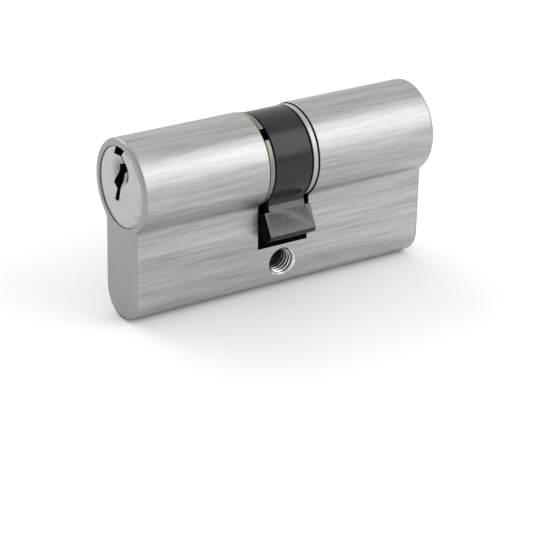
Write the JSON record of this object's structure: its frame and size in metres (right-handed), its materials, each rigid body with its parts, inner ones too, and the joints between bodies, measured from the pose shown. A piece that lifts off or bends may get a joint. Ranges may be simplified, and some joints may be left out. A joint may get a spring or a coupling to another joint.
{
  "type": "euro profile lock cylinder",
  "caption": "Double euro profile lock cylinder: round barrel over a flat web, two keyed plugs on one axis, a turning cam in the middle slot and sprung pin stacks below each plug.",
  "frame": {"origin": "centre of the fixing screw's hole, midway through the web, 30 mm from each end face and 18.8 mm below the plugs' axis", "axes": "+X along the plugs from the outer side to the inner side, +Z from the web's round bottom up to the barrel, +Y through the web away from the side that the cam's nose leans to"},
  "size_m": [0.06, 0.017, 0.033],
  "materials": {
    "satin_nickel": "nickel-plated brass, brushed along the length to a satin sheen",
    "polished_nickel": "nickel-plated brass, fine turned and lightly polished",
    "black_steel": "sintered steel, blackened, satin with a fine grain",
    "clip_steel": "stamped spring steel, satin",
    "sintered_steel": "sintered steel, matte",
    "pin_brass": "turned brass",
    "pin_steel": "turned steel",
    "spring_bronze": "drawn bronze wire"
  },
  "bodies": {
    "housing": {"housing": "satin_nickel", "outer_chamber_cap_1": "pin_brass", "outer_chamber_cap_2": "pin_brass", "outer_chamber_cap_3": "pin_brass", "outer_chamber_cap_4": "pin_brass", "outer_chamber_cap_5": "pin_brass", "outer_spring_1": "spring_bronze", "outer_spring_2": "spring_bronze", "outer_spring_3": "spring_bronze", "outer_spring_4": "spring_bronze", "outer_spring_5": "spring_bronze", "inner_chamber_cap_1": "pin_brass", "inner_chamber_cap_2": "pin_brass", "inner_chamber_cap_3": "pin_brass", "inner_chamber_cap_4": "pin_brass", "inner_chamber_cap_5": "pin_brass", "inner_spring_1": "spring_bronze", "inner_spring_2": "spring_bronze", "inner_spring_3": "spring_bronze", "inner_spring_4": "spring_bronze", "inner_spring_5": "spring_bronze"},
    "outer_plug": {"outer_plug": "polished_nickel", "outer_clip": "clip_steel"},
    "inner_plug": {"inner_plug": "polished_nickel", "inner_clip": "clip_steel"},
    "cam": {"cam": "black_steel"},
    "outer_clutch": {"outer_clutch": "sintered_steel"},
    "inner_clutch": {"inner_clutch": "sintered_steel"},
    "outer_key_pin_1": {"outer_key_pin_1": "pin_brass"},
    "outer_key_pin_2": {"outer_key_pin_2": "pin_brass"},
    "outer_key_pin_3": {"outer_key_pin_3": "pin_brass"},
    "outer_key_pin_4": {"outer_key_pin_4": "pin_brass"},
    "outer_key_pin_5": {"outer_key_pin_5": "pin_brass"},
    "inner_key_pin_1": {"inner_key_pin_1": "pin_brass"},
    "inner_key_pin_2": {"inner_key_pin_2": "pin_brass"},
    "inner_key_pin_3": {"inner_key_pin_3": "pin_brass"},
    "inner_key_pin_4": {"inner_key_pin_4": "pin_brass"},
    "inner_key_pin_5": {"inner_key_pin_5": "pin_brass"},
    "outer_driver_pin_1": {"outer_driver_pin_1": "pin_steel"},
    "outer_driver_pin_2": {"outer_driver_pin_2": "pin_steel"},
    "outer_driver_pin_3": {"outer_driver_pin_3": "pin_steel"},
    "outer_driver_pin_4": {"outer_driver_pin_4": "pin_steel"},
    "outer_driver_pin_5": {"outer_driver_pin_5": "pin_steel"},
    "inner_driver_pin_1": {"inner_driver_pin_1": "pin_steel"},
    "inner_driver_pin_2": {"inner_driver_pin_2": "pin_steel"},
    "inner_driver_pin_3": {"inner_driver_pin_3": "pin_steel"},
    "inner_driver_pin_4": {"inner_driver_pin_4": "pin_steel"},
    "inner_driver_pin_5": {"inner_driver_pin_5": "pin_steel"}
  },
  "joints": [
    {"name": "outer_plug_turn", "type": "hinge", "parent": "housing", "child": "outer_plug", "pos_m": [0, 0, 0.0188], "axis": [1, 0, 0], "continuous": true},
    {"name": "cam_turn", "type": "hinge", "parent": "housing", "child": "cam", "pos_m": [0, 0, 0.0188], "axis": [1, 0, 0], "continuous": true},
    {"name": "inner_plug_turn", "type": "hinge", "parent": "housing", "child": "inner_plug", "pos_m": [0, 0, 0.0188], "axis": [1, 0, 0], "continuous": true},
    {"name": "outer_clutch_shift", "type": "slide", "parent": "outer_plug", "child": "outer_clutch", "axis": [1, 0, 0], "range_m": [-0.0023, 0]},
    {"name": "inner_clutch_shift", "type": "slide", "parent": "inner_plug", "child": "inner_clutch", "axis": [1, 0, 0], "range_m": [-0.0023, 0]},
    {"name": "outer_key_pin_1_rise", "type": "slide", "parent": "outer_plug", "child": "outer_key_pin_1", "axis": [0, 0, 1], "range_m": [0, 0.0029]},
    {"name": "outer_key_pin_2_rise", "type": "slide", "parent": "outer_plug", "child": "outer_key_pin_2", "axis": [0, 0, 1], "range_m": [0, 0.0019]},
    {"name": "outer_key_pin_3_rise", "type": "slide", "parent": "outer_plug", "child": "outer_key_pin_3", "axis": [0, 0, 1], "range_m": [0, 0.0037]},
    {"name": "outer_key_pin_4_rise", "type": "slide", "parent": "outer_plug", "child": "outer_key_pin_4", "axis": [0, 0, 1], "range_m": [0, 0.0024]},
    {"name": "outer_key_pin_5_rise", "type": "slide", "parent": "outer_plug", "child": "outer_key_pin_5", "axis": [0, 0, 1], "range_m": [0, 0.0034]},
    {"name": "inner_key_pin_1_rise", "type": "slide", "parent": "inner_plug", "child": "inner_key_pin_1", "axis": [0, 0, 1], "range_m": [0, 0.0029]},
    {"name": "inner_key_pin_2_rise", "type": "slide", "parent": "inner_plug", "child": "inner_key_pin_2", "axis": [0, 0, 1], "range_m": [0, 0.0019]},
    {"name": "inner_key_pin_3_rise", "type": "slide", "parent": "inner_plug", "child": "inner_key_pin_3", "axis": [0, 0, 1], "range_m": [0, 0.0037]},
    {"name": "inner_key_pin_4_rise", "type": "slide", "parent": "inner_plug", "child": "inner_key_pin_4", "axis": [0, 0, 1], "range_m": [0, 0.0024]},
    {"name": "inner_key_pin_5_rise", "type": "slide", "parent": "inner_plug", "child": "inner_key_pin_5", "axis": [0, 0, 1], "range_m": [0, 0.0034]},
    {"name": "outer_driver_pin_1_travel", "type": "slide", "parent": "housing", "child": "outer_driver_pin_1", "axis": [0, 0, 1], "range_m": [-0.004, 0], "stiffness_N_per_m": 200, "deforming": ["outer_spring_1"]},
    {"name": "outer_driver_pin_2_travel", "type": "slide", "parent": "housing", "child": "outer_driver_pin_2", "axis": [0, 0, 1], "range_m": [-0.004, 0], "stiffness_N_per_m": 200, "deforming": ["outer_spring_2"]},
    {"name": "outer_driver_pin_3_travel", "type": "slide", "parent": "housing", "child": "outer_driver_pin_3", "axis": [0, 0, 1], "range_m": [-0.004, 0], "stiffness_N_per_m": 200, "deforming": ["outer_spring_3"]},
    {"name": "outer_driver_pin_4_travel", "type": "slide", "parent": "housing", "child": "outer_driver_pin_4", "axis": [0, 0, 1], "range_m": [-0.004, 0], "stiffness_N_per_m": 200, "deforming": ["outer_spring_4"]},
    {"name": "outer_driver_pin_5_travel", "type": "slide", "parent": "housing", "child": "outer_driver_pin_5", "axis": [0, 0, 1], "range_m": [-0.004, 0], "stiffness_N_per_m": 200, "deforming": ["outer_spring_5"]},
    {"name": "inner_driver_pin_1_travel", "type": "slide", "parent": "housing", "child": "inner_driver_pin_1", "axis": [0, 0, 1], "range_m": [-0.004, 0], "stiffness_N_per_m": 200, "deforming": ["inner_spring_1"]},
    {"name": "inner_driver_pin_2_travel", "type": "slide", "parent": "housing", "child": "inner_driver_pin_2", "axis": [0, 0, 1], "range_m": [-0.004, 0], "stiffness_N_per_m": 200, "deforming": ["inner_spring_2"]},
    {"name": "inner_driver_pin_3_travel", "type": "slide", "parent": "housing", "child": "inner_driver_pin_3", "axis": [0, 0, 1], "range_m": [-0.004, 0], "stiffness_N_per_m": 200, "deforming": ["inner_spring_3"]},
    {"name": "inner_driver_pin_4_travel", "type": "slide", "parent": "housing", "child": "inner_driver_pin_4", "axis": [0, 0, 1], "range_m": [-0.004, 0], "stiffness_N_per_m": 200, "deforming": ["inner_spring_4"]},
    {"name": "inner_driver_pin_5_travel", "type": "slide", "parent": "housing", "child": "inner_driver_pin_5", "axis": [0, 0, 1], "range_m": [-0.004, 0], "stiffness_N_per_m": 200, "deforming": ["inner_spring_5"]}
  ],
  "couplings": [
    {"joint": "cam_turn", "follows": "outer_plug_turn", "ratio": 1},
    {"joint": "inner_clutch_shift", "follows": "outer_clutch_shift", "ratio": 1}
  ]
}
